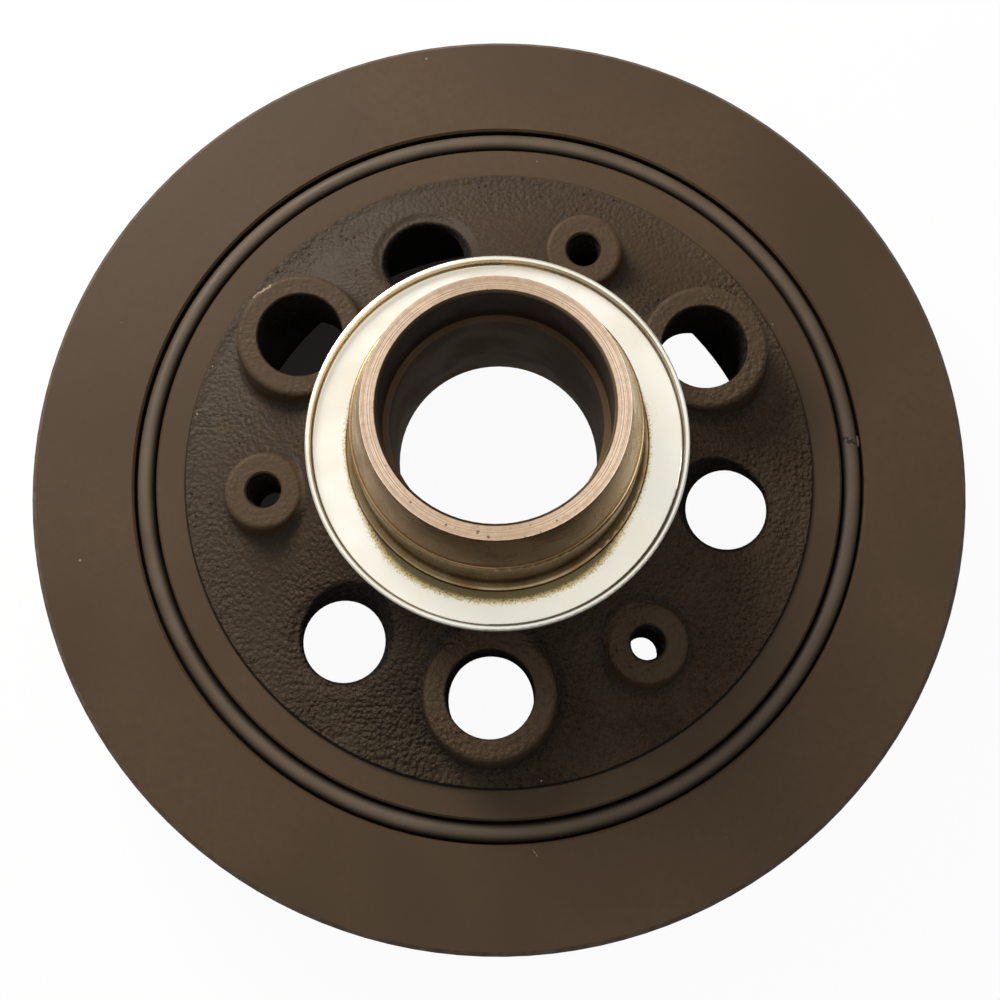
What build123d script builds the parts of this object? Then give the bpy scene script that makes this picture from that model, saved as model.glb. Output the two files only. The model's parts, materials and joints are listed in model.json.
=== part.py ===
"""Harmonic balancer for an engine's crankshaft: hub, bonded rubber ring, inertia ring, dust shield.

Z is the crankshaft's axis. Z = 0 is the plane of the front faces, which the balancer lies on,
and +Z runs towards the engine, up the snout that enters the timing cover. X = Y = 0 is the axis.
All lengths are in millimetres and all angles in degrees.
"""
from build123d import *
from math import cos, radians, sin, tan
import os

# ---- inertia ring -----------------------------------------------------------------------------
ring_wall = 20.8
ring_width = 38.0
ring_edge_chamfer = 0.9
ring_lip_chamfer = 0.5

# ---- rubber ring, squeezed between the hub's rim and the inertia ring ---------------------------
rubber_wall = 4.4
rubber_inset = 1.3
rubber_crown = 1.0

# ---- hub: rim and web ---------------------------------------------------------------------------
rim_wall = 10.0
rim_draft = 5.5
rim_edge_chamfer = 0.5
rim_face_width = 6.0
land_width = 2.0
land_height = 1.0
land_round = 0.5
land_leaving_angle = 8.5
web_rise_at_holes = 6.2
web_flare_width = 3.8
web_flare_rise = 11.6
web_thickness_at_holes = 8.6
web_underside_slope = 31.0
pocket_blend = 4.5

# ---- hub: barrel, neck and snout ------------------------------------------------------------------
crank_bore_radius = 19.6
crank_bore_length = 31.1
crank_bore_chamfer = 0.6
mouth_step = 1.2
mouth_depth = 13.6
mouth_chamfer = 0.5
snout_height = 51.8
snout_wall = 6.2
seal_root_blend = 1.4
lead_in_length = 12.3
lead_in_taper = 3.2
lead_in_step = 0.5
lead_in_round = 0.45
shoulder_width = 7.2
neck_foot_rise = 19.0
neck_edge_round = 0.8
washer_seat_width = 9.9
washer_recess_blend = 2.0
barrel_front_wall = 4.5
barrel_front_height = 11.0
barrel_draft = 2.5

# ---- dust shield ----------------------------------------------------------------------------------
shield_height = 25.5
shield_gauge = 1.0
shield_clear_of_seal = 1.5
shield_overhang = 2.0
shield_lip_height = 2.1
shield_bend = 0.5
shield_edge_round = 0.3

# ---- nine holes on one circle: bored, tapped and cored, three of each -----------------------------
hole_circle_to_neck = 12.3
holes_of_a_kind = 3
first_bored_hole = 30.0
tapped_hole_step = 40.0
cored_hole_step = 81.0
bored_hole_radius = 8.45
bored_hole_chamfer = 0.35
bored_boss_radius = 12.6
bored_boss_height = 13.9
bored_boss_to_rim = 0.7
tapped_hole_radius = 3.4
tapped_hole_chamfer = 0.45
tapped_hole_length = 19.0
tapped_boss_radius = 7.7
tapped_boss_height = 11.6
boss_draft = 4.0
boss_edge_round = 1.0
boss_root_blend = 1.6
cored_hole_throat_radius = 8.1
cored_hole_throat_rise = 2.0
cored_hole_draft = 13.0
cored_hole_front_reach = 12.9
cored_hole_edge_round = 0.6

# ---- worked out from the above ----------------------------------------------------------------------
full_turn = 360.0
same_place = 0.001
mouth_radius = crank_bore_radius + mouth_step
seal_radius = mouth_radius + snout_wall
snout_tip_radius = seal_radius - lead_in_taper
neck_radius = seal_radius + shoulder_width
shield_bore_radius = seal_radius + shield_clear_of_seal
shield_outer_radius = neck_radius + shield_overhang
washer_recess_radius = crank_bore_radius + washer_seat_width
barrel_front_radius = washer_recess_radius + barrel_front_wall
hole_circle_radius = neck_radius + hole_circle_to_neck
rim_inner_radius = hole_circle_radius + bored_boss_radius + bored_boss_to_rim
rim_outer_radius = rim_inner_radius + rim_wall
ring_inner_radius = rim_outer_radius + rubber_wall
ring_outer_radius = ring_inner_radius + ring_wall
land_outer_radius = rim_outer_radius - rim_face_width
land_inner_radius = land_outer_radius - land_width
land_top = ring_width + land_height
web_top_at_holes = ring_width + web_rise_at_holes
neck_foot = ring_width + neck_foot_rise
shield_top = ring_width + shield_height
shoulder_top = shield_top - shield_gauge
snout_top = ring_width + snout_height
lead_in_base = snout_top - lead_in_length
mouth_floor = snout_top - mouth_depth
crank_bore_front = mouth_floor - crank_bore_length
bored_boss_top = ring_width + bored_boss_height
tapped_boss_top = ring_width + tapped_boss_height
tapped_boss_foot = tapped_boss_top - tapped_hole_length
tapped_hole_angle = first_bored_hole + tapped_hole_step
cored_hole_angle = first_bored_hole + cored_hole_step


def turned(corners):
    """A solid of revolution about Z from an outline's corners, each (radius, height, blend)."""
    points = [(radius, height) for radius, height, _ in corners]
    blends = [blend for _, _, blend in corners]
    with BuildPart() as body:
        with BuildSketch(Plane.XZ):
            with BuildLine():
                FilletPolyline(*points, radius=blends, close=True)
            make_face()
        revolve(axis=Axis.Z)
    return body.part


def hole_places(first_angle):
    """The places of the holes of one kind, evenly round the hole circle."""
    angles = [first_angle + full_turn * turn / holes_of_a_kind for turn in range(holes_of_a_kind)]
    return [Rot(0, 0, angle) * Pos(hole_circle_radius, 0, 0) for angle in angles]


def inertia_ring():
    """The heavy outer ring, turned all over, with its edges broken."""
    outer = ring_outer_radius
    inner = ring_inner_radius
    edge = ring_edge_chamfer
    lip = ring_lip_chamfer
    return turned(
        [
            (inner + lip, 0, 0),
            (outer - edge, 0, 0),
            (outer, edge, 0),
            (outer, ring_width - edge, 0),
            (outer - edge, ring_width, 0),
            (inner + lip, ring_width, 0),
            (inner, ring_width - lip, 0),
            (inner, lip, 0),
        ]
    )


def rubber_ring():
    """The rubber between rim and ring, its free ends crowned where the squeeze bulges them."""
    inner = rim_outer_radius
    outer = ring_inner_radius
    middle = (inner + outer) / 2
    low = rubber_inset
    high = ring_width - rubber_inset
    with BuildPart() as body:
        with BuildSketch(Plane.XZ):
            with BuildLine():
                Line((inner, low), (inner, high))
                ThreePointArc((inner, high), (middle, high + rubber_crown), (outer, high))
                Line((outer, high), (outer, low))
                ThreePointArc((outer, low), (middle, low - rubber_crown), (inner, low))
            make_face()
        revolve(axis=Axis.Z)
    return body.part


def dust_shield():
    """The pressed steel ring on the hub's shoulder, its outer edge turned up into a lip."""
    lip_top = shield_top + shield_lip_height
    lip_inner_radius = shield_outer_radius - shield_gauge
    return turned(
        [
            (shield_bore_radius, shoulder_top, 0),
            (shield_outer_radius, shoulder_top, shield_bend + shield_gauge),
            (shield_outer_radius, lip_top, shield_edge_round),
            (lip_inner_radius, lip_top, shield_edge_round),
            (lip_inner_radius, shield_top, shield_bend),
            (shield_bore_radius, shield_top, shield_edge_round),
        ]
    )


def hub_rear_form():
    """The hub's casting seen from the rear, still solid in front: rim, land, web, neck, snout.

    The web is one smooth cast curve. It leaves the land almost flat, climbs past the hole
    circle and turns up into the neck.
    """
    rim = rim_outer_radius
    broken = rim_edge_chamfer
    leaving = radians(180 - land_leaving_angle)
    with BuildPart() as body:
        with BuildSketch(Plane.XZ):
            with BuildLine():
                FilletPolyline(
                    (0, 0),
                    (rim - broken, 0),
                    (rim, broken),
                    (rim, ring_width - broken),
                    (rim - broken, ring_width),
                    (land_outer_radius, ring_width),
                    (land_outer_radius, land_top),
                    (land_inner_radius, land_top),
                    radius=[0, 0, 0, 0, 0, land_round],
                )
                Spline(
                    (land_inner_radius, land_top),
                    (hole_circle_radius, web_top_at_holes),
                    (neck_radius + web_flare_width, ring_width + web_flare_rise),
                    (neck_radius, neck_foot),
                    tangents=[(cos(leaving), sin(leaving)), (0, 1)],
                )
                FilletPolyline(
                    (neck_radius, neck_foot),
                    (neck_radius, shoulder_top),
                    (shield_bore_radius, shoulder_top),
                    (shield_bore_radius, shield_top),
                    (seal_radius, shield_top),
                    (seal_radius, lead_in_base),
                    (seal_radius - lead_in_step, lead_in_base),
                    (snout_tip_radius, snout_top),
                    (0, snout_top),
                    (0, 0),
                    radius=[neck_edge_round, 0, 0, seal_root_blend, lead_in_round, 0, 0, 0],
                )
            make_face()
        revolve(axis=Axis.Z)
    return body.part


def boss(radius, top, foot):
    """A round cast boss with a drafted side and a rounded edge, from its top to its foot."""
    foot_radius = radius + abs(top - foot) * tan(radians(boss_draft))
    return turned([(0, foot, 0), (foot_radius, foot, 0), (radius, top, boss_edge_round), (0, top, 0)])


def core():
    """The space of one cored hole: the mould's halves meet at its throat and draft it both ways."""
    throat = ring_width + cored_hole_throat_rise
    rear_end = shoulder_top
    front_end = throat - cored_hole_front_reach
    draft = tan(radians(cored_hole_draft))
    return turned(
        [
            (0, front_end, 0),
            (cored_hole_throat_radius + (throat - front_end) * draft, front_end, 0),
            (cored_hole_throat_radius, throat, 0),
            (cored_hole_throat_radius + (rear_end - throat) * draft, rear_end, 0),
            (0, rear_end, 0),
        ]
    )


def blended(casting, earlier, blend):
    """The casting with a blend on each edge that bosses or cores have given its earlier form."""
    earlier_centers = [edge.center() for edge in earlier.edges()]

    def is_new(edge):
        center = edge.center()
        lies_on_outline_plane = abs(center.Y) < same_place
        is_kept = any((center - other).length < same_place for other in earlier_centers)
        return edge.geom_type == GeomType.BSPLINE and not lies_on_outline_plane and not is_kept

    return fillet(casting.edges().filter_by(is_new), radius=blend)


def underside_corner(wall_radius, wall_height, draft):
    """Where a drafted wall of the front pocket meets the cone of the web's underside."""
    slope = tan(radians(web_underside_slope))
    lean = tan(radians(draft))
    at_holes = web_top_at_holes - web_thickness_at_holes
    rise = (hole_circle_radius - wall_radius + wall_height * lean) * slope
    height = (at_holes + rise) / (1 + lean * slope)
    return wall_radius + (height - wall_height) * lean, height


def front_pocket():
    """The space that the casting leaves open in front, between the barrel and the rim."""
    rim_corner = underside_corner(rim_inner_radius, 0, -rim_draft)
    barrel_corner = underside_corner(barrel_front_radius, barrel_front_height, barrel_draft)
    pocket = turned(
        [
            (0, -rim_edge_chamfer, 0),
            (rim_inner_radius + rim_edge_chamfer * 2, -rim_edge_chamfer, 0),
            (rim_inner_radius, rim_edge_chamfer, 0),
            (*rim_corner, pocket_blend),
            (*barrel_corner, pocket_blend),
            (barrel_front_radius, barrel_front_height, 0),
            (0, barrel_front_height, 0),
        ]
    )
    for place in hole_places(tapped_hole_angle):
        pocket -= place * boss(tapped_boss_radius, tapped_boss_foot, tapped_boss_top)
    return pocket


def turned_middle():
    """What is turned out of the hub's middle: washer recess, crank bore and the snout's mouth."""
    bore = crank_bore_radius
    mouth = mouth_radius
    return turned(
        [
            (0, 0, 0),
            (washer_recess_radius, 0, 0),
            (washer_recess_radius, crank_bore_front, washer_recess_blend),
            (bore + crank_bore_chamfer, crank_bore_front, 0),
            (bore, crank_bore_front + crank_bore_chamfer, 0),
            (bore, mouth_floor, 0),
            (mouth, mouth_floor, 0),
            (mouth, snout_top - mouth_chamfer, 0),
            (mouth + mouth_chamfer * 2, snout_top + mouth_chamfer, 0),
            (0, snout_top + mouth_chamfer, 0),
        ]
    )


def drilling(radius, seat, broken_edge):
    """A straight hole right through the web, its edge broken where it opens on its boss's seat."""
    above = seat + broken_edge
    return turned(
        [
            (0, 0, 0),
            (radius, 0, 0),
            (radius, seat - broken_edge, 0),
            (radius + broken_edge * 2, above, 0),
            (0, above, 0),
        ]
    )


def hub():
    """One iron casting, machined at the snout, the bore, the rim and the drilled holes."""
    form = hub_rear_form()
    cored = form
    for place in hole_places(cored_hole_angle):
        cored -= place * core()
    cored = blended(cored, form, cored_hole_edge_round)
    casting = cored
    for place in hole_places(first_bored_hole):
        casting += place * boss(bored_boss_radius, bored_boss_top, ring_width)
    for place in hole_places(tapped_hole_angle):
        casting += place * boss(tapped_boss_radius, tapped_boss_top, ring_width)
    casting = blended(casting, cored, boss_root_blend)
    casting -= front_pocket()
    casting -= turned_middle()
    for place in hole_places(first_bored_hole):
        casting -= place * drilling(bored_hole_radius, bored_boss_top, bored_hole_chamfer)
    for place in hole_places(tapped_hole_angle):
        casting -= place * drilling(tapped_hole_radius, tapped_boss_top, tapped_hole_chamfer)
    return casting


os.makedirs("parts", exist_ok=True)
export_step(inertia_ring(), "parts/inertia_ring.step")
export_step(rubber_ring(), "parts/rubber_ring.step")
export_step(hub(), "parts/hub.step")
export_step(dust_shield(), "parts/dust_shield.step")
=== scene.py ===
import json
from math import cos, pi, radians, sin, sqrt, tan

import bmesh
import bpy
from mathutils import Matrix, Vector


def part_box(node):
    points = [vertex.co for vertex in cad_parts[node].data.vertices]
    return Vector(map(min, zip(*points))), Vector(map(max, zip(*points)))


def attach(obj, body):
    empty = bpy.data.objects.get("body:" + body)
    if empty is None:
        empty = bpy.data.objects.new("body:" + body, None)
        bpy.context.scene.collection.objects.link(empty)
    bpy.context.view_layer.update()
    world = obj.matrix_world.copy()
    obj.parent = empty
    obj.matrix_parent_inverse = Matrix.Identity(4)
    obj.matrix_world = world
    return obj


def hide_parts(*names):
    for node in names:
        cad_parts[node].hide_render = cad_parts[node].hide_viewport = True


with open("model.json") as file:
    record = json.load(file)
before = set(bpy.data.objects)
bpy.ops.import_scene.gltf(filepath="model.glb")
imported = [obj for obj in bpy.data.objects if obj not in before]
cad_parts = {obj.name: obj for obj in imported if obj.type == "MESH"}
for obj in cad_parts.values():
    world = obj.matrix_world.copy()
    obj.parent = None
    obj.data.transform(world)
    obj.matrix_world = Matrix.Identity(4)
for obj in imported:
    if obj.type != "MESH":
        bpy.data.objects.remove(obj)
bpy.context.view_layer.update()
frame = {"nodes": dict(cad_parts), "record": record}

# ---- Inertia ring ---------------------------------------------------------------------------------
# The heavy outer ring is turned all over from grey iron and sprayed with one thin coat of warm black
# satin paint. The tool's rings show faintly through the coat, dust specks are caught in it, and its
# outer edge is rubbed by handling. Materials measure in millimetres, meshes in metres.
mm = 0.001
ring_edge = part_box("inertia_ring")[1]
ring_radius_mm = ring_edge.x / mm
ring_top_mm = ring_edge.z / mm
ring_inner_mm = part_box("rubber_ring")[1].x / mm
edge_round_mm = 1.0
tool_mark_mm = 0.004
scuff_start = (0.0091, -0.0749, 0.0)
scuff_end = (0.0101, -0.0762, 0.0)

paint_brown = (0.078, 0.048, 0.025, 1.0)
paint_shade = (0.060, 0.037, 0.019, 1.0)
dust_tan = (0.30, 0.23, 0.16, 1.0)
rubbed_edge = (0.13, 0.10, 0.075, 1.0)
shade_black = (0.010, 0.007, 0.005, 1.0)
paint_gloss = 0.15


def add_node(tree, kind, inputs=None, **settings):
    """A node of one kind with its settings; inputs are sockets to link or numbers to write."""
    made = tree.nodes.new(kind)
    for name, value in settings.items():
        setattr(made, name, value)
    for socket, value in (inputs or {}).items():
        if isinstance(value, bpy.types.NodeSocket):
            tree.links.new(value, made.inputs[socket])
        else:
            made.inputs[socket].default_value = value
    return made


def work(tree, operation, *values):
    """One step of arithmetic, kept between 0 and 1 where the operation's name ends in CLAMPED."""
    clamped = operation.endswith(" CLAMPED")
    inputs = dict(enumerate(values))
    kind = operation.replace(" CLAMPED", "")
    return add_node(tree, "ShaderNodeMath", inputs, operation=kind, use_clamp=clamped).outputs[0]


def times(tree, value, *others):
    """Several masks or numbers multiplied together."""
    for other in others:
        value = work(tree, "MULTIPLY", value, other)
    return value


def ramp(tree, value, low, high, to_low=0.0, to_high=1.0):
    """A value's smooth step from one number to another while it passes from low to high."""
    inputs = {"Value": value, "From Min": low, "From Max": high, "To Min": to_low, "To Max": to_high}
    return add_node(tree, "ShaderNodeMapRange", inputs, interpolation_type="SMOOTHSTEP").outputs[0]


def vector_work(tree, operation, first, second):
    """One step of arithmetic on two places; a dot product or a distance comes out as a number."""
    made = add_node(tree, "ShaderNodeVectorMath", {0: first, 1: second}, operation=operation)
    return made.outputs["Value" if operation in ("DOT_PRODUCT", "DISTANCE") else "Vector"]


def noise(tree, position, scale, detail=0.0):
    """Even noise from 0 to 1 through the solid; the scale is about how many lumps lie in a metre."""
    inputs = {"Vector": position, "Scale": scale, "Detail": detail}
    return add_node(tree, "ShaderNodeTexNoise", inputs).outputs[0]


def tinted(tree, amount, under, over, strength=1.0):
    """Two colours mixed: over replaces under by the amount, times a strength."""
    if strength != 1.0:
        amount = times(tree, amount, strength)
    return add_node(tree, "ShaderNodeMix", {0: amount, 6: under, 7: over}, data_type="RGBA").outputs[2]


def start_group(name, inputs, outputs):
    """A shader node group with named inputs and outputs, and its inner sockets for both."""
    group = bpy.data.node_groups.new(name, "ShaderNodeTree")
    for socket, (kind, value) in inputs.items():
        made = group.interface.new_socket(socket, in_out="INPUT", socket_type=f"NodeSocket{kind}")
        if value is not None:
            made.default_value = value
    for socket, kind in outputs.items():
        group.interface.new_socket(socket, in_out="OUTPUT", socket_type=f"NodeSocket{kind}")
    given = group.nodes.new("NodeGroupInput").outputs
    result = group.nodes.new("NodeGroupOutput").inputs
    return group, given, result


def place_group(tree, group, inputs):
    """A node group's outputs, placed in a material with its own values."""
    return add_node(tree, "ShaderNodeGroup", inputs, node_tree=group).outputs


def place_on_axis_group():
    """How far a point lies from the turning axis, and how high, in millimetres."""
    group, given, result = start_group(
        "place on axis",
        {"Position": ("Vector", None)},
        {"Radius": "Float", "Height": "Float"},
    )
    parts = add_node(group, "ShaderNodeSeparateXYZ", {0: given["Position"]}).outputs
    squares = work(group, "MULTIPLY", parts["X"], parts["X"])
    squares = work(group, "MULTIPLY_ADD", parts["Y"], parts["Y"], squares)
    radius = work(group, "SQRT", squares)
    group.links.new(work(group, "DIVIDE", radius, mm), result["Radius"])
    group.links.new(work(group, "DIVIDE", parts["Z"], mm), result["Height"])
    return group


def lathe_rings_group():
    """The rings that a turning tool leaves, finer and coarser by turns, as a height from 0 to 1."""
    group, given, result = start_group(
        "lathe rings",
        {
            "Radius": ("Float", 0.0),
            "Height": ("Float", 0.0),
            "Position": ("Vector", None),
            "Pitch": ("Float", 0.3),
            "Wander": ("Float", 0.05),
        },
        {"Rings": "Float"},
    )
    drift = noise(group, given["Position"], 60.0)
    along = work(group, "ADD", given["Radius"], given["Height"])
    along = work(group, "MULTIPLY_ADD", drift, given["Wander"], along)
    count = work(group, "DIVIDE", along, given["Pitch"])
    ring_inputs = {"W": count, "Scale": 1.0, "Detail": 2.0}
    rings = add_node(group, "ShaderNodeTexNoise", ring_inputs, noise_dimensions="1D").outputs[0]
    group.links.new(rings, result["Rings"])
    return group


def flecks_group():
    """Small round flecks, one at most in each cell of a loose pattern, as a mask."""
    group, given, result = start_group(
        "flecks",
        {
            "Position": ("Vector", None),
            "Cell": ("Float", 4.0),
            "Size": ("Float", 0.2),
            "Share": ("Float", 0.1),
        },
        {"Flecks": "Float"},
    )
    smallest_share = 0.3
    edge_sharpness = 2.5
    scale = work(group, "DIVIDE", 1.0 / mm, given["Cell"])
    cell_inputs = {"Vector": given["Position"], "Scale": scale}
    cells = add_node(group, "ShaderNodeTexVoronoi", cell_inputs).outputs
    lot = add_node(group, "ShaderNodeSeparateColor", {0: cells["Color"]}).outputs[0]
    drawn = work(group, "LESS_THAN", lot, given["Share"])
    own_size = work(group, "DIVIDE", lot, given["Share"])
    own_size = work(group, "MULTIPLY_ADD", own_size, 1.0 - smallest_share, smallest_share)
    reach = work(group, "DIVIDE", given["Size"], given["Cell"])
    reach = times(group, reach, own_size)
    depth = work(group, "SUBTRACT", 1.0, work(group, "DIVIDE", cells["Distance"], reach))
    spot = work(group, "MULTIPLY CLAMPED", depth, edge_sharpness)
    group.links.new(times(group, spot, drawn), result["Flecks"])
    return group


def mottle_group():
    """Slow clouds from 0 to 1, as a coat of paint or a stain gathers and thins."""
    group, given, result = start_group(
        "mottle", {"Position": ("Vector", None), "Size": ("Float", 20.0)}, {"Clouds": "Float"}
    )
    scale = work(group, "DIVIDE", 1.0 / mm, given["Size"])
    inputs = {"Vector": given["Position"], "Scale": scale, "Detail": 2.0, "Roughness": 0.6}
    clouds = add_node(group, "ShaderNodeTexNoise", inputs).outputs[0]
    group.links.new(ramp(group, clouds, 0.3, 0.7), result["Clouds"])
    return group


def streak_group():
    """One thin scratch between two points of a level face, ragged along its length, as a mask."""
    group, given, result = start_group(
        "streak",
        {
            "Position": ("Vector", None),
            "Start": ("Vector", None),
            "End": ("Vector", None),
            "Width": ("Float", 0.4),
        },
        {"Streak": "Float"},
    )
    level = vector_work(group, "MULTIPLY", given["Position"], (1.0, 1.0, 0.0))
    from_start = vector_work(group, "SUBTRACT", level, given["Start"])
    whole = vector_work(group, "SUBTRACT", given["End"], given["Start"])
    done = vector_work(group, "DOT_PRODUCT", from_start, whole)
    full = vector_work(group, "DOT_PRODUCT", whole, whole)
    share = work(group, "DIVIDE CLAMPED", done, full)
    nearest = vector_work(group, "MULTIPLY", whole, share)
    gap = vector_work(group, "DISTANCE", from_start, nearest)
    ragged = noise(group, given["Position"], 1800.0)
    reach = times(group, given["Width"], ramp(group, ragged, 0.3, 0.7, 0.1 * mm, 0.9 * mm))
    group.links.new(work(group, "LESS_THAN", gap, reach), result["Streak"])
    return group


def groove_shade_group():
    """Painted shade on a wall beside the rubber: none near the face and black further down, as a mask.
    """
    group, given, result = start_group(
        "groove shade",
        {"From wall": ("Float", 0.0), "Below face": ("Float", 0.0), "Reach": ("Float", 0.2)},
        {"Shade": "Float"},
    )
    reach_end = work(group, "ADD", given["Reach"], 0.15)
    on_wall = ramp(group, given["From wall"], given["Reach"], reach_end, 1.0, 0.0)
    low_down = ramp(group, given["Below face"], 0.3, 0.55)
    group.links.new(times(group, on_wall, low_down), result["Shade"])
    return group


def grain_group():
    """The finest grain of a surface, laid on the relief it already has, in millimetres."""
    group, given, result = start_group(
        "grain",
        {
            "Position": ("Vector", None),
            "Scale": ("Float", 2500.0),
            "Depth": ("Float", 0.008),
            "Relief": ("Float", 0.0),
        },
        {"Relief": "Float"},
    )
    fine = noise(group, given["Position"], given["Scale"])
    relief = work(group, "MULTIPLY_ADD", fine, given["Depth"], given["Relief"])
    group.links.new(relief, result["Relief"])
    return group


place_on_axis = place_on_axis_group()
lathe_rings = lathe_rings_group()
flecks = flecks_group()
mottle = mottle_group()
streak = streak_group()
groove_shade = groove_shade_group()
grain = grain_group()


def coat_of_paint_group():
    """The thin warm black coat: its uneven colour with dust caught in it, and its own roughness."""
    group, given, result = start_group(
        "coat of paint",
        {"Position": ("Vector", None), "Cloud size": ("Float", 45.0), "Dust": ("Float", 0.7)},
        {"Colour": "Color", "Roughness": "Float"},
    )
    cloud_inputs = {"Position": given["Position"], "Size": given["Cloud size"]}
    clouds = place_group(group, mottle, cloud_inputs)["Clouds"]
    colour = tinted(group, clouds, paint_shade, paint_brown)
    fine = place_group(group, mottle, {"Position": given["Position"], "Size": 1.6})["Clouds"]
    colour = tinted(group, fine, colour, paint_shade, 0.35)
    dust_inputs = {"Position": given["Position"], "Cell": 5.0, "Size": 0.32, "Share": 0.3}
    dust = place_group(group, flecks, dust_inputs)["Flecks"]
    colour = tinted(group, times(group, dust, given["Dust"]), colour, dust_tan)
    group.links.new(colour, result["Colour"])
    group.links.new(ramp(group, clouds, 0.0, 1.0, 0.46, 0.54), result["Roughness"])
    return group


coat_of_paint = coat_of_paint_group()


def start_material(name):
    """An empty Principled material: its node tree, its shader and the place of each point."""
    material = bpy.data.materials.new(name)
    material.use_nodes = True
    tree = material.node_tree
    shader = tree.nodes["Principled BSDF"]
    position = add_node(tree, "ShaderNodeTexCoord").outputs["Object"]
    place = place_group(tree, place_on_axis, {"Position": position})
    return material, tree, shader, position, place["Radius"], place["Height"]


def finish_surface(tree, shader, colour, roughness, height_mm):
    """Links a surface's colour and roughness, and its fine relief as a bump in millimetres."""
    relief = add_node(tree, "ShaderNodeBump", {"Height": height_mm, "Distance": mm})
    tree.links.new(colour, shader.inputs["Base Color"])
    tree.links.new(roughness, shader.inputs["Roughness"])
    tree.links.new(relief.outputs[0], shader.inputs["Normal"])


def give_material(piece, material):
    """Puts one material on a piece."""
    piece.data.materials.clear()
    piece.data.materials.append(material)


ring_paint, tree, shader, position, radius, height = start_material("ring paint")
shader.inputs["Specular IOR Level"].default_value = paint_gloss
coat = place_group(tree, coat_of_paint, {"Position": position, "Cloud size": 45.0, "Dust": 0.7})
edge_wear = place_group(tree, mottle, {"Position": position, "Size": 3.0})["Clouds"]
at_rim = ramp(tree, radius, ring_radius_mm - edge_round_mm, ring_radius_mm - edge_round_mm + 0.2)
at_top = ramp(tree, height, ring_top_mm - edge_round_mm - 0.1, ring_top_mm - edge_round_mm + 0.3)
edge_rub = times(tree, at_rim, at_top, edge_wear)
colour = tinted(tree, edge_rub, coat["Colour"], rubbed_edge, 0.6)
scuff_inputs = {"Position": position, "Start": scuff_start, "End": scuff_end, "Width": 0.3}
scuff = place_group(tree, streak, scuff_inputs)["Streak"]
colour = tinted(tree, scuff, colour, dust_tan, 0.7)
# The ring's inner wall below the face, beside the rubber's groove, is darkened as painted shade.
from_wall = work(tree, "SUBTRACT", radius, ring_inner_mm)
below_face = work(tree, "SUBTRACT", ring_top_mm, height)
groove_shade_inputs = {"From wall": from_wall, "Below face": below_face, "Reach": 0.35}
groove_shade_mask = place_group(tree, groove_shade, groove_shade_inputs)["Shade"]
colour = tinted(tree, groove_shade_mask, colour, shade_black)
tool_inputs = {"Radius": radius, "Height": height, "Position": position, "Pitch": 0.5, "Wander": 0.1}
tool_marks = place_group(tree, lathe_rings, tool_inputs)["Rings"]
relief = times(tree, tool_marks, tool_mark_mm)
grain_inputs = {"Position": position, "Scale": 2500.0, "Depth": 0.008, "Relief": relief}
relief = place_group(tree, grain, grain_inputs)["Relief"]
finish_surface(tree, shader, colour, coat["Roughness"], relief)
give_material(frame["nodes"]["inertia_ring"], ring_paint)

# ---- Rubber ring ----------------------------------------------------------------------------------
# The rubber is squeezed between the rim and the ring. At each face it stands up as a round bead with
# a narrow groove on both sides, matt black with a dusty bloom. A crease and a small squeezed-out lump
# mark where its two ends were joined.
rubber_low, rubber_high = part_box("rubber_ring")
rubber_outer = rubber_high.x
rubber_points = [vertex.co for vertex in frame["nodes"]["rubber_ring"].data.vertices]
rubber_inner = min(sqrt(point.x**2 + point.y**2) for point in rubber_points)
bead_crown = 0.05 * mm
bead_rise = 1.45 * mm
bead_steps = 256
bead_arc_steps = 14
weld_gap = 0.001 * mm
groove_depth = 1.7 * mm
groove_width = 0.4 * mm
crease_depth_mm = 0.6
splice_turn = radians(6.6)
splice_half_sizes = (0.4 * mm, 1.3 * mm, 0.4 * mm)
splice_centre = (rubber_outer - 0.4 * mm, 0.0, rubber_high.z - 1.15 * mm)
crease_ends = [
    ((0.0704, 0.0087, 0.0), (0.0713, 0.0090, 0.0)),
    ((0.0711, 0.0083, 0.0), (0.0722, 0.0080, 0.0)),
]

rubber_black = (0.082, 0.058, 0.036, 1.0)
bloom_grey = (0.112, 0.082, 0.053, 1.0)
rubber_gloss = 0.25


def set_in_scene(name, mesh):
    """A new object of the scene from a finished mesh, at the origin."""
    data = bpy.data.meshes.new(name)
    mesh.to_mesh(data)
    mesh.free()
    made = bpy.data.objects.new(name, data)
    bpy.context.scene.collection.objects.link(made)
    return made


def closed_outline(mesh, points):
    """The corners and edges of one closed outline in a mesh."""
    corners = [mesh.verts.new(point) for point in points]
    edges = [mesh.edges.new((corners[i - 1], corners[i])) for i in range(len(corners))]
    return corners + edges


def spun_ring(name, profile, steps):
    """A ring turned about the axis from a closed outline of (radius, height) points."""
    mesh = bmesh.new()
    outline = closed_outline(mesh, [(r, 0.0, z) for r, z in profile])
    bmesh.ops.spin(
        mesh, geom=outline, cent=(0, 0, 0), axis=(0, 0, 1), dvec=(0, 0, 0), angle=2 * pi,
        steps=steps, use_merge=True, use_normal_flip=False, use_duplicate=False,
    )
    bmesh.ops.remove_doubles(mesh, verts=mesh.verts, dist=weld_gap)
    bmesh.ops.recalc_face_normals(mesh, faces=mesh.faces)
    made = set_in_scene(name, mesh)
    made.data.shade_smooth()
    return made


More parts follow.
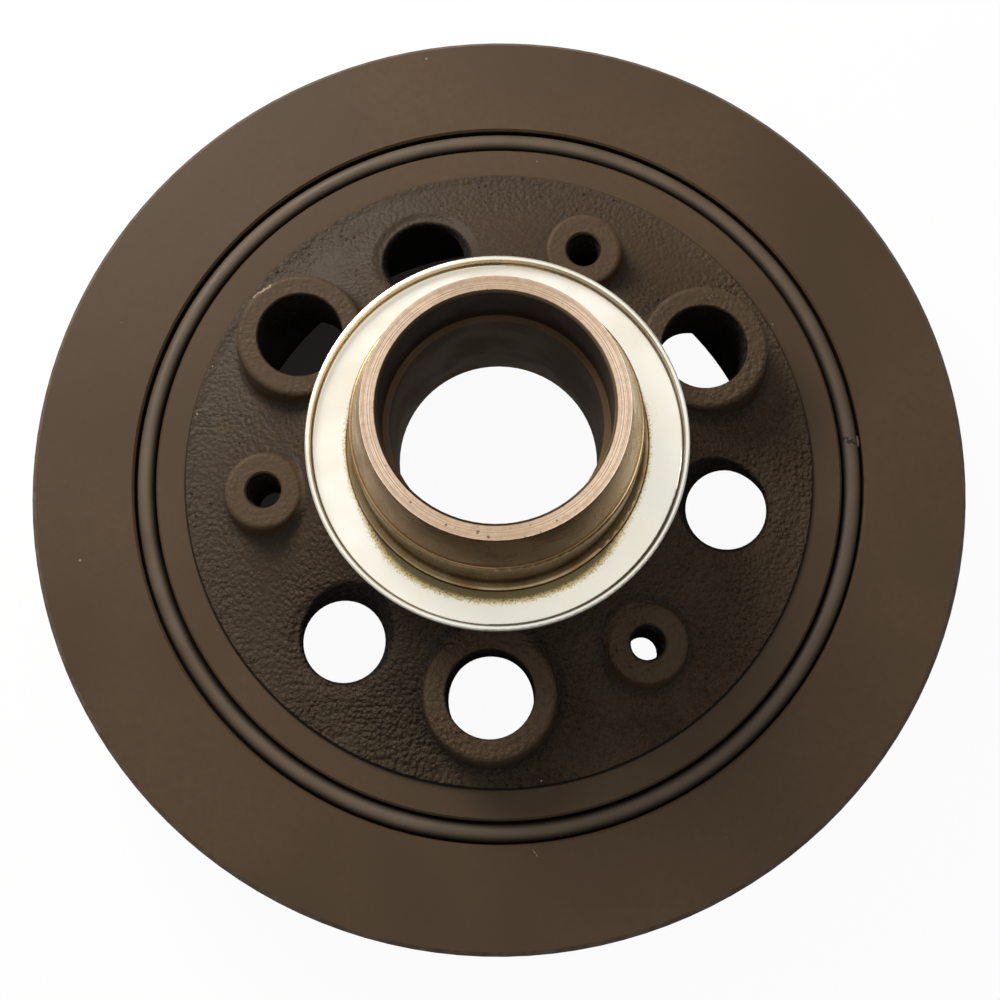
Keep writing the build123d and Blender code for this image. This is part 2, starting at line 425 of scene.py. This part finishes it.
def bead_outline():
    """The rubber's outline: straight bonded walls, and a round bead between two grooves at each end."""
    middle = (rubber_inner + rubber_outer) / 2
    half_wall = (rubber_outer - rubber_inner) / 2
    half_bead = half_wall - groove_width
    points = []
    for crown, side in ((rubber_high.z - bead_crown, 1), (rubber_low.z + bead_crown, -1)):
        foot = crown - side * groove_depth
        points.append((middle - side * half_wall, foot))
        points.append((middle - side * half_bead, foot))
        for step in range(bead_arc_steps + 1):
            turn = pi * step / bead_arc_steps
            rise = bead_rise * (sin(turn) - 1)
            points.append((middle - side * half_bead * cos(turn), crown + side * rise))
        points.append((middle + side * half_bead, foot))
        points.append((middle + side * half_wall, foot))
    return points


rubber_bead = spun_ring("rubber_bead", bead_outline(), bead_steps)

rubber_material, tree, shader, position, radius, height = start_material("rubber")
shader.inputs["Specular IOR Level"].default_value = rubber_gloss
bloom = place_group(tree, mottle, {"Position": position, "Size": 14.0})["Clouds"]
colour = tinted(tree, bloom, rubber_black, bloom_grey, 0.8)
dust_inputs = {"Position": position, "Cell": 6.0, "Size": 0.35, "Share": 0.12}
dust = place_group(tree, flecks, dust_inputs)["Flecks"]
colour = tinted(tree, dust, colour, dust_tan, 0.6)

# The grooves and the bead's flanks are darkened as painted shade, the outer flank most on the near
# side.
foot_mm = (rubber_high.z - groove_depth) / mm
in_groove = ramp(tree, height, foot_mm, foot_mm + 0.7, 1.0, 0.0)
colour = tinted(tree, in_groove, colour, shade_black)
middle_mm = (rubber_inner + rubber_outer) / 2 / mm
sideways = add_node(tree, "ShaderNodeSeparateXYZ", {0: position}).outputs
outer_flank = ramp(tree, radius, middle_mm + 0.2, middle_mm + 1.7)
outer_flank = times(tree, outer_flank, ramp(tree, sideways["Y"], -60 * mm, -10 * mm, 0.7, 0.15))
inner_flank = ramp(tree, radius, middle_mm - 1.75, middle_mm - 0.3, 1.0, 0.0)
colour = tinted(tree, work(tree, "ADD", outer_flank, inner_flank), colour, shade_black)
# The splice crease is darkened as painted shade, and also sunk by the bump below.
crease = 0.0
for start, end in crease_ends:
    crease_inputs = {"Position": position, "Start": start, "End": end, "Width": 0.75}
    crease = work(tree, "MAXIMUM", crease, place_group(tree, streak, crease_inputs)["Streak"])
colour = tinted(tree, crease, colour, shade_black, 0.85)
grain_inputs = {"Position": position, "Scale": 1800.0, "Depth": 0.012, "Relief": 0.0}
relief = place_group(tree, grain, grain_inputs)["Relief"]
relief = work(tree, "MULTIPLY_ADD", crease, -crease_depth_mm, relief)
finish_surface(tree, shader, colour, ramp(tree, bloom, 0.0, 1.0, 0.45, 0.6), relief)
give_material(rubber_bead, rubber_material)
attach(rubber_bead, "root")
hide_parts("rubber_ring")

# The lump squeezed out at the splice lies in the outer groove, against the bead.
splice_place = Matrix.Rotation(splice_turn, 4, "Z") @ Matrix.Translation(splice_centre)
splice_place = splice_place @ Matrix.Diagonal((*splice_half_sizes, 1.0))
splice_mesh = bmesh.new()
bmesh.ops.create_uvsphere(
    splice_mesh, u_segments=24, v_segments=14, radius=1.0, matrix=splice_place
)
bmesh.ops.recalc_face_normals(splice_mesh, faces=splice_mesh.faces)
rubber_splice = set_in_scene("rubber_splice", splice_mesh)
rubber_splice.data.shade_smooth()
give_material(rubber_splice, rubber_material)
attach(rubber_splice, "root")

# ---- Hub ------------------------------------------------------------------------------------------
# One iron casting. Web, bosses and neck keep the lumpy skin of the sand mould under the paint, and rim
# and land are turned smooth. The snout is left bare: its end face, lead-in cone and seal journal are
# turned bright and have browned, and the bore is dull with old oil. Three small bosses are tapped.
snout_top_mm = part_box("hub")[1].z / mm
rim_outer_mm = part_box("hub")[1].x / mm
rim_wall_mm = 63.0
underside_mm = 38.0
shoulder_top_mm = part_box("dust_shield")[0].z / mm
land_radius_mm = 63.8
journal_radius_mm = 28.6
lead_in_base_mm = 77.5
bore_radius_mm = 20.95
bore_step_mm = 76.2

mounts = {mount["name"]: mount for mount in frame["record"]["mounts"]}
hole_circle_mm = mounts["bored_holes"]["dims"]["pcd_mm"] / 2
bored_radius_mm = mounts["bored_holes"]["dims"]["hole_r_mm"]
tapped_radius_mm = mounts["puller_holes"]["dims"]["hole_r_mm"]
bored_boss_mm = 12.6
tapped_boss_mm = 7.7
cored_radius_mm = 9.7
throat_radius_mm = 8.1
throat_height_mm = 40.0
core_draft = radians(13.0)
coarse_side = (0.55, -0.83, 0.0)
holes_of_a_kind = 3
first_bored_hole = 30.0
first_tapped_hole = 70.0
first_cored_hole = 111.0
chip_start = (-0.0510, 0.0304, 0.0)
chip_end = (-0.0468, 0.0332, 0.0)
chip_above_mm = 49.0
skin_depth_mm = 0.62
pinhole_depth_mm = 0.12
journal_ring_mm = 0.010
mouth_roll_mm = 0.7
metal_share = 0.9

web_paint = (0.034, 0.024, 0.015, 1.0)
hole_shade_black = (0.012, 0.010, 0.008, 1.0)
iron_tan = (0.46, 0.32, 0.21, 1.0)
cone_tan = (0.60, 0.40, 0.20, 1.0)
cone_reflection_pale = (0.92, 0.66, 0.36, 1.0)
iron_bright = (0.92, 0.71, 0.54, 1.0)
iron_brown = (0.25, 0.145, 0.060, 1.0)
iron_olive = (0.36, 0.28, 0.16, 1.0)
pit_and_shadow_brown = (0.09, 0.06, 0.04, 1.0)
bore_brown = (0.17, 0.112, 0.062, 1.0)
mouth_brown = (0.095, 0.066, 0.045, 1.0)


def from_hole_group():
    """How far a point lies, in millimetres, from the axis of the nearest of three even holes.

    The first hole's angle is in degrees.
    """
    group, given, result = start_group(
        "distance from hole",
        {"Position": ("Vector", None), "First angle": ("Float", 0.0)},
        {"Distance": "Float"},
    )
    parts = add_node(group, "ShaderNodeSeparateXYZ", {0: given["Position"]}).outputs
    turn = work(group, "ARCTAN2", parts["Y"], parts["X"])
    start = work(group, "RADIANS", given["First angle"])
    share = work(group, "DIVIDE", work(group, "SUBTRACT", turn, start), 2 * pi / holes_of_a_kind)
    share = work(group, "SUBTRACT", work(group, "FRACT", work(group, "ADD", share, 0.5)), 0.5)
    turn = times(group, share, 2 * pi / holes_of_a_kind)
    radius = place_group(group, place_on_axis, {"Position": given["Position"]})["Radius"]
    along = times(group, radius, work(group, "COSINE", turn))
    along = work(group, "SUBTRACT", along, hole_circle_mm)
    across = times(group, radius, work(group, "SINE", turn))
    squares = work(group, "MULTIPLY_ADD", along, along, times(group, across, across))
    group.links.new(work(group, "SQRT", squares), result["Distance"])
    return group


from_hole = from_hole_group()


def band(tree, value, low, high, edge):
    """1 where a value lies from low to high, falling to 0 over an edge on both sides."""
    rises = ramp(tree, value, low - edge, low)
    falls = ramp(tree, value, high, high + edge, 1.0, 0.0)
    return times(tree, rises, falls)


def distance_from(first_hole):
    """How far each point of the hub lies from the nearest hole of one kind."""
    return place_group(tree, from_hole, {"Position": position, "First angle": first_hole})["Distance"]


hub_iron, tree, shader, position, radius, height = start_material("hub iron")
shader.inputs["Specular IOR Level"].default_value = paint_gloss
sideways = add_node(tree, "ShaderNodeSeparateXYZ", {0: position}).outputs
from_bored = distance_from(first_bored_hole)
from_tapped = distance_from(first_tapped_hole)
from_cored = distance_from(first_cored_hole)

# Where the iron is bare, painted, as cast, on a boss or in a hole.
above_shoulder = ramp(tree, height, shoulder_top_mm + 0.05, shoulder_top_mm + 0.1)
near_snout = ramp(tree, radius, journal_radius_mm, journal_radius_mm + 0.05, 1.0, 0.0)
in_bore = ramp(tree, radius, bore_radius_mm, bore_radius_mm + 0.05, 1.0, 0.0)
bare = work(tree, "MAXIMUM", times(tree, above_shoulder, near_snout), in_bore)
painted = work(tree, "SUBTRACT", 1.0, bare)
inside_land = ramp(tree, radius, land_radius_mm - 0.5, land_radius_mm - 0.2, 1.0, 0.0)
as_cast = times(tree, painted, inside_land)
on_bored_boss = ramp(tree, from_bored, bored_boss_mm, bored_boss_mm + 1.2, 1.0, 0.0)
on_tapped_boss = ramp(tree, from_tapped, tapped_boss_mm, tapped_boss_mm + 1.2, 1.0, 0.0)
on_boss = work(tree, "MAXIMUM", on_bored_boss, on_tapped_boss)
on_web = times(tree, as_cast, work(tree, "SUBTRACT", 1.0, on_boss))
in_bored = ramp(tree, from_bored, bored_radius_mm + 0.05, bored_radius_mm + 0.25, 1.0, 0.0)
in_tapped = ramp(tree, from_tapped, tapped_radius_mm + 0.05, tapped_radius_mm + 0.25, 1.0, 0.0)
from_throat = work(tree, "ABSOLUTE", work(tree, "SUBTRACT", height, throat_height_mm))
core_wall = work(tree, "MULTIPLY_ADD", from_throat, tan(core_draft), throat_radius_mm)
in_cored = ramp(tree, work(tree, "SUBTRACT", from_cored, core_wall), 0.15, 0.6, 1.0, 0.0)
in_hole = work(tree, "MAXIMUM", work(tree, "MAXIMUM", in_bored, in_tapped), in_cored)
on_underside = times(
    tree,
    ramp(tree, height, underside_mm - 1.0, underside_mm + 1.0, 1.0, 0.0),
    ramp(tree, radius, rim_wall_mm - 1.0, rim_wall_mm + 1.0, 1.0, 0.0),
    0.8,
)
in_hole = work(tree, "MAXIMUM", in_hole, on_underside)

# The lumpy cast skin, coarser towards the near right, with pinholes where sand gathered.
skin_lumps = add_node(tree, "ShaderNodeTexVoronoi", {"Vector": position, "Scale": 1000.0}).outputs[0]
wrinkles = noise(tree, position, 1300.0, 2.0)
skin = work(tree, "SUBTRACT", wrinkles, times(tree, skin_lumps, 0.7))
sand_clouds = place_group(tree, mottle, {"Position": position, "Size": 13.0})["Clouds"]
towards_coarse = vector_work(tree, "DOT_PRODUCT", position, coarse_side)
coarseness = times(
    tree,
    ramp(tree, towards_coarse, -35 * mm, 50 * mm, 0.35, 1.6),
    ramp(tree, sand_clouds, 0.0, 1.0, 0.6, 1.2),
    ramp(tree, on_boss, 0.0, 1.0, 1.0, 0.5),
    as_cast,
)
pinhole_inputs = {"Position": position, "Cell": 1.3, "Size": 0.42, "Share": 0.5}
pinholes = place_group(tree, flecks, pinhole_inputs)["Flecks"]
pinholes = times(tree, pinholes, as_cast, ramp(tree, sand_clouds, 0.45, 0.8))

# The painted skin: dusty at the land, darker on the web, with painted shade on the left, in holes and
# corners.
coat = place_group(tree, coat_of_paint, {"Position": position, "Cloud size": 45.0, "Dust": 0.7})
# The web is darker than the rim, most on the left and least on the right; that change is painted shade.
web_side_shade = ramp(tree, sideways["X"], 0.0, 50 * mm, 0.75, 0.3)
paint_colour = tinted(tree, times(tree, on_web, web_side_shade), coat["Colour"], web_paint)
# The holes and the hub's underside in the pocket are painted near black as shade.
paint_colour = tinted(tree, times(tree, in_hole, painted), paint_colour, hole_shade_black)
# The skin's creases are darkened as painted shade.
in_creases = times(tree, ramp(tree, skin, -0.1, 0.16, 1.0, 0.0), as_cast)
paint_colour = tinted(tree, in_creases, paint_colour, paint_shade, 0.5)
edge_dust_inputs = {"Position": position, "Cell": 2.5, "Size": 0.35, "Share": 0.25}
edge_dust = place_group(tree, flecks, edge_dust_inputs)["Flecks"]
at_land = band(tree, radius, land_radius_mm - 1.2, land_radius_mm - 0.4, 0.2)
paint_colour = tinted(tree, times(tree, edge_dust, at_land), paint_colour, dust_tan, 0.9)
# The roots of the bosses are darkened as painted shade.
at_bored_root = band(tree, from_bored, bored_boss_mm + 0.8, bored_boss_mm + 1.8, 0.8)
at_tapped_root = band(tree, from_tapped, tapped_boss_mm + 0.8, tapped_boss_mm + 1.6, 0.7)
boss_root_shade = times(tree, work(tree, "MAXIMUM", at_bored_root, at_tapped_root), as_cast)
paint_colour = tinted(tree, boss_root_shade, paint_colour, hole_shade_black, 0.35)
# The foot of the land is a painted shadow line, darkest on the near side.
rear_side = ramp(tree, sideways["Y"], -30 * mm, 35 * mm)
land_foot_shade = band(tree, radius, land_radius_mm - 0.3, land_radius_mm + 0.15, 0.1)
land_foot_shade = times(tree, land_foot_shade, ramp(tree, rear_side, 0.0, 1.0, 0.95, 0.25))
paint_colour = tinted(tree, land_foot_shade, paint_colour, shade_black)
# The rim's wall below the face, beside the rubber, is darkened as painted shade.
from_wall = work(tree, "SUBTRACT", rim_outer_mm, radius)
below_face = work(tree, "SUBTRACT", ring_top_mm, height)
groove_shade_inputs = {"From wall": from_wall, "Below face": below_face, "Reach": 0.2}
groove_shade_mask = place_group(tree, groove_shade, groove_shade_inputs)["Shade"]
paint_colour = tinted(tree, groove_shade_mask, paint_colour, shade_black)
chip_inputs = {"Position": position, "Start": chip_start, "End": chip_end, "Width": 0.45}
chip = place_group(tree, streak, chip_inputs)["Streak"]
chip = times(tree, chip, ramp(tree, height, chip_above_mm, chip_above_mm + 0.5))
paint_colour = tinted(tree, chip, paint_colour, dust_tan, 0.75)
# The pinholes are painted dark as shade.
paint_colour = tinted(tree, pinholes, paint_colour, hole_shade_black, 0.8)
paint_roughness = work(tree, "MULTIPLY_ADD", in_hole, 0.4, coat["Roughness"])

# The bare snout: journal, then cone, browner on the near side and paler on the right: painted
# reflection.
stain = place_group(tree, mottle, {"Position": position, "Size": 9.0})["Clouds"]
metal = tinted(tree, stain, iron_olive, iron_brown)
cone_dark_reflection = ramp(tree, sideways["Y"], -27 * mm, -9 * mm, 0.9, 0.0)
cone_bright_reflection = ramp(tree, sideways["X"], 10 * mm, 23 * mm)
cone_stain_and_reflection = times(tree, stain, ramp(tree, cone_bright_reflection, 0.0, 1.0, 0.5, 0.1))
cone_stain_and_reflection = work(tree, "MAXIMUM", cone_stain_and_reflection, cone_dark_reflection)
cone_colour = tinted(tree, cone_bright_reflection, cone_tan, cone_reflection_pale)
cone_colour = tinted(tree, cone_stain_and_reflection, cone_colour, iron_brown)
on_cone = ramp(tree, height, lead_in_base_mm - 0.1, lead_in_base_mm)
metal = tinted(tree, on_cone, metal, cone_colour)

# The end face: fine turned rings, painted sheen at both sides, rust pits most on the near side.
ring_inputs = {"Radius": radius, "Height": height, "Position": position, "Pitch": 0.22, "Wander": 0.25}
rings = place_group(tree, lathe_rings, ring_inputs)["Rings"]
fine_stain = place_group(tree, mottle, {"Position": position, "Size": 1.2})["Clouds"]
near_side = ramp(tree, sideways["Y"], -24 * mm, -6 * mm, 1.0, 0.0)
to_side = work(tree, "DIVIDE", work(tree, "ABSOLUTE", sideways["X"]), times(tree, radius, mm))
end_colour = tinted(tree, ramp(tree, rings, 0.3, 0.7), iron_tan, iron_bright)
# Painted sheen: the face is lighter at its left and right sides than at its top and bottom.
end_colour = tinted(tree, ramp(tree, to_side, 0.2, 0.85, 0.62, 0.0), end_colour, iron_tan)
end_colour = tinted(tree, near_side, end_colour, iron_tan, 0.3)
end_colour = tinted(tree, fine_stain, end_colour, iron_brown, 0.22)
on_end_face = ramp(tree, height, snout_top_mm - 0.12, snout_top_mm - 0.06)
metal = tinted(tree, on_end_face, metal, end_colour)
# A painted shadow line runs round the end face's edge.
end_edge_shadow = band(tree, height, snout_top_mm - 0.45, snout_top_mm - 0.1, 0.05)
metal = tinted(tree, end_edge_shadow, metal, pit_and_shadow_brown, 0.75)
pit_inputs = {"Position": position, "Cell": 0.9, "Size": 0.34, "Share": 0.5}
pits = place_group(tree, flecks, pit_inputs)["Flecks"]
pits = times(tree, pits, work(tree, "MULTIPLY_ADD", near_side, 0.7, 0.3))
pits = times(tree, pits, ramp(tree, fine_stain, 0.3, 0.7), on_end_face)
metal = tinted(tree, pits, metal, pit_and_shadow_brown, 0.85)

# The bore: dull old oil, darker in the mouth above its step.
below_end = ramp(tree, height, snout_top_mm - 0.6, snout_top_mm - 0.2, 1.0, 0.0)
inner_wall = times(tree, in_bore, below_end)
in_mouth = ramp(tree, height, bore_step_mm, bore_step_mm + 0.1)
metal = tinted(tree, inner_wall, metal, tinted(tree, in_mouth, bore_brown, mouth_brown))

colour = tinted(tree, bare, paint_colour, metal)
metal_roughness = ramp(tree, stain, 0.0, 1.0, 0.20, 0.30)
metal_roughness = work(tree, "MULTIPLY_ADD", inner_wall, 0.42, metal_roughness)
roughness = times(tree, paint_roughness, painted)
roughness = work(tree, "MULTIPLY_ADD", metal_roughness, bare, roughness)
tree.links.new(times(tree, bare, metal_share), shader.inputs["Metallic"])
relief = times(tree, skin, coarseness, skin_depth_mm)
relief = work(tree, "MULTIPLY_ADD", pinholes, -pinhole_depth_mm, relief)
relief = work(tree, "MULTIPLY_ADD", times(tree, rings, bare), journal_ring_mm, relief)
mouth_roll = ramp(tree, from_cored, cored_radius_mm - 0.6, cored_radius_mm + 1.6, 1.0, 0.0)
relief = work(tree, "MULTIPLY_ADD", times(tree, on_web, mouth_roll), -mouth_roll_mm, relief)
grain_inputs = {"Position": position, "Scale": 2500.0, "Depth": 0.008, "Relief": relief}
relief = place_group(tree, grain, grain_inputs)["Relief"]
finish_surface(tree, shader, colour, roughness, relief)
give_material(frame["nodes"]["hub"], hub_iron)

# The coarse thread cut in each of the three small bosses: one ridge wound up the wall of its hole.
thread_pitch = 1.25 * mm
thread_crest = (tapped_radius_mm - 0.3) * mm
thread_root = (tapped_radius_mm + 0.05) * mm
thread_width = 0.9 * mm
thread_low = mounts["puller_holes"]["pos_m"][2] + 0.6 * mm
thread_turns = 13
thread_steps = 24


def wound_thread(number):
    """The ridge of one tapped hole, spun up about the hole's own axis and closed at both ends."""
    turn = radians(first_tapped_hole) + 2 * pi * number / holes_of_a_kind
    centre = Vector((hole_circle_mm * mm * cos(turn), hole_circle_mm * mm * sin(turn), 0.0))
    section = [
        (thread_root, thread_low),
        (thread_root, thread_low + thread_width),
        (thread_crest, thread_low + thread_width / 2),
    ]
    mesh = bmesh.new()
    outline = closed_outline(mesh, [centre + Vector((r, 0.0, z)) for r, z in section])
    bmesh.ops.spin(
        mesh, geom=outline, cent=centre, axis=(0, 0, 1), dvec=(0, 0, thread_pitch / thread_steps),
        angle=2 * pi * thread_turns, steps=thread_turns * thread_steps,
        use_merge=False, use_normal_flip=False, use_duplicate=False,
    )
    bmesh.ops.holes_fill(mesh, edges=mesh.edges, sides=len(section))
    bmesh.ops.recalc_face_normals(mesh, faces=mesh.faces)
    return set_in_scene(f"thread_{number + 1}", mesh)


for number in range(holes_of_a_kind):
    thread = wound_thread(number)
    give_material(thread, hub_iron)
    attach(thread, "root")

# ---- Dust shield ----------------------------------------------------------------------------------
# A ring pressed from thin steel sheet and plated satin bright, pushed over the snout on to the hub's
# shoulder. Its outer edge is turned up into a lip. A gold fringe along the bore is a painted reflection
# of the cone.
sheet_mm = 1.0
lip_inner_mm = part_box("dust_shield")[1].x / mm - sheet_mm
shield_face_mm = shoulder_top_mm + sheet_mm
fringe_near_mm = 31.3
fringe_far_mm = 29.3

plate_white = (0.90, 0.87, 0.78, 1.0)
plate_warm = (0.80, 0.75, 0.62, 1.0)
cone_reflection_brown = (0.12, 0.09, 0.042, 1.0)
cone_reflection_gold = (0.50, 0.38, 0.17, 1.0)
lip_corner_shade_brown = (0.10, 0.065, 0.03, 1.0)

shield_plate, tree, shader, position, radius, height = start_material("shield plate")
shader.inputs["Metallic"].default_value = 0.8
clouds = place_group(tree, mottle, {"Position": position, "Size": 16.0})["Clouds"]
colour = tinted(tree, clouds, plate_warm, plate_white)
sideways = add_node(tree, "ShaderNodeSeparateXYZ", {0: position}).outputs
# The fringe is a painted reflection of the cone, reaching furthest on the near side.
fringe_reach = ramp(tree, sideways["Y"], -28 * mm, -12 * mm, fringe_near_mm, fringe_far_mm)
fringe_inputs = {"Position": position, "Cell": 0.3, "Size": 0.24, "Share": 0.8}
fringe_spots = place_group(tree, flecks, fringe_inputs)["Flecks"]
fringe_depth = work(tree, "SUBTRACT", fringe_reach, radius)
fringe_depth = work(tree, "MULTIPLY_ADD", fringe_spots, 0.5, fringe_depth)
colour = tinted(tree, ramp(tree, fringe_depth, 0.0, 0.9), colour, cone_reflection_gold)
colour = tinted(tree, ramp(tree, fringe_depth, 0.7, 1.5), colour, cone_reflection_brown)
# The corner at the lip's foot is darkened as painted shade.
lip_corner = band(tree, radius, lip_inner_mm - 0.25, lip_inner_mm + 0.02, 0.12)
low_down = ramp(tree, height, shield_face_mm + 0.5, shield_face_mm + 0.9, 1.0, 0.0)
colour = tinted(tree, times(tree, lip_corner, low_down), colour, lip_corner_shade_brown, 0.75)
speck_inputs = {"Position": position, "Cell": 7.0, "Size": 0.3, "Share": 0.1}
specks = place_group(tree, flecks, speck_inputs)["Flecks"]
colour = tinted(tree, specks, colour, pit_and_shadow_brown, 0.85)
ring_inputs = {"Radius": radius, "Height": height, "Position": position, "Pitch": 0.16, "Wander": 0.12}
rings = place_group(tree, lathe_rings, ring_inputs)["Rings"]
roughness = ramp(tree, clouds, 0.0, 1.0, 0.27, 0.34)
finish_surface(tree, shader, colour, roughness, times(tree, rings, tool_mark_mm))
give_material(frame["nodes"]["dust_shield"], shield_plate)

# ---- Floor ----------------------------------------------------------------------------------------
# A plain pale table top that the balancer lies on, and that keeps its soft shadow. It shows white to
# the camera, and to shiny surfaces only where it lies open and a little under the bore. Under the two
# holes at the rear left a dark patch is painted shadow, as in a closed pocket.
floor_reach = 3.0
floor_grey = (0.85, 0.85, 0.85, 1.0)
background_white = (1.0, 1.0, 1.0, 1.0)
pocket_shadow_grey = (0.012, 0.011, 0.010, 1.0)
pocket_inner_mm = 34.0
pocket_outer_mm = 62.0
pocket_side = (-0.72, 0.70, 0.0)
under_bore_mm = 18.5
under_bore_glow = 0.4
white_share = 0.95

floor_mesh = bmesh.new()
bmesh.ops.create_grid(floor_mesh, x_segments=1, y_segments=1, size=floor_reach)
floor = set_in_scene("floor", floor_mesh)

floor_material, tree, shader, position, radius, height = start_material("floor")
shader.inputs["Base Color"].default_value = floor_grey
shader.inputs["Roughness"].default_value = 0.9
shader.inputs["Specular IOR Level"].default_value = 0.0
# The pocket patch is a painted shadow on the floor.
in_pocket_shadow = band(tree, radius, pocket_inner_mm, pocket_outer_mm, 0.5)
towards_pocket = vector_work(tree, "DOT_PRODUCT", position, pocket_side)
in_pocket_shadow = times(tree, in_pocket_shadow, ramp(tree, towards_pocket, 18 * mm, 30 * mm))
glow_colour = tinted(tree, in_pocket_shadow, background_white, pocket_shadow_grey)
glow = add_node(tree, "ShaderNodeEmission", {"Color": glow_colour, "Strength": 1.0})
rays = add_node(tree, "ShaderNodeLightPath").outputs
in_the_open = ramp(tree, radius, ring_radius_mm - 5.0, ring_radius_mm)
under_bore = ramp(tree, radius, under_bore_mm, under_bore_mm + 1.0, under_bore_glow, 0.0)
in_metal = times(tree, rays["Is Glossy Ray"], work(tree, "ADD", in_the_open, under_bore))
seen = work(tree, "MAXIMUM", rays["Is Camera Ray"], in_metal)
seen = work(tree, "MAXIMUM", seen, rays["Is Transmission Ray"])
seen = times(tree, seen, white_share)
mixed = add_node(tree, "ShaderNodeMixShader", {0: seen, 1: shader.outputs[0], 2: glow.outputs[0]})
tree.links.new(mixed.outputs[0], tree.nodes["Material Output"].inputs["Surface"])
give_material(floor, floor_material)

# ---- Light ----------------------------------------------------------------------------------------
# A bright room, lightest towards the rear left and dimmest at the near right, with a round skylight
# overhead and one large soft lamp above the rear left.
bright_side = Vector((-0.75, 0.35, 0.55)).normalized()
dimmest = 0.085
brightest = 0.46
skylight_side = Vector((0.18, 0.05, 0.98)).normalized()
skylight_level = 0.97
room_white = (0.97, 0.985, 1.0, 1.0)
lamp_place = Vector((-0.24, 0.31, 0.37))
lamp_aim = Vector((0.0, 0.0, 0.04))

world = bpy.data.worlds.new("studio")
bpy.context.scene.world = world
world.use_nodes = True
tree = world.node_tree
direction = add_node(tree, "ShaderNodeTexCoord").outputs["Generated"]
facing = vector_work(tree, "DOT_PRODUCT", direction, bright_side)
overhead = vector_work(tree, "DOT_PRODUCT", direction, skylight_side)
level = ramp(tree, facing, -1.0, 1.0, dimmest, brightest)
level = work(tree, "ADD", level, ramp(tree, overhead, 0.86, 0.99, 0.0, skylight_level))
tree.links.new(level, tree.nodes["Background"].inputs["Strength"])
tree.nodes["Background"].inputs["Color"].default_value = room_white

lamp = bpy.data.lights.new("softbox", "AREA")
lamp.shape = "DISK"
lamp.size = 0.30
lamp.energy = 2.85
lamp.color = (1.0, 0.955, 0.90)
softbox = bpy.data.objects.new("softbox", lamp)
softbox.location = lamp_place
softbox.rotation_euler = (lamp_aim - lamp_place).to_track_quat("-Z", "Y").to_euler()
bpy.context.scene.collection.objects.link(softbox)
bpy.context.scene.view_settings.view_transform = "Standard"

# ---- Camera ---------------------------------------------------------------------------------------
# The balancer is seen from above and a little from the near side, from about a third of a metre.
# The lens and its small shift keep the whole ring in the frame with a narrow margin.
camera_data = bpy.data.cameras.new("camera")
camera_data.lens = 61.2
camera_data.sensor_width = 36.0
camera_data.shift_x = -0.0111
camera_data.shift_y = -0.0661
camera_data.clip_start = 0.01
camera = bpy.data.objects.new("camera", camera_data)
camera.location = (0.00581, -0.07434, 0.37588)
camera.rotation_euler = (radians(13.638), radians(0.161), radians(1.809))
bpy.context.scene.collection.objects.link(camera)
bpy.context.scene.camera = camera
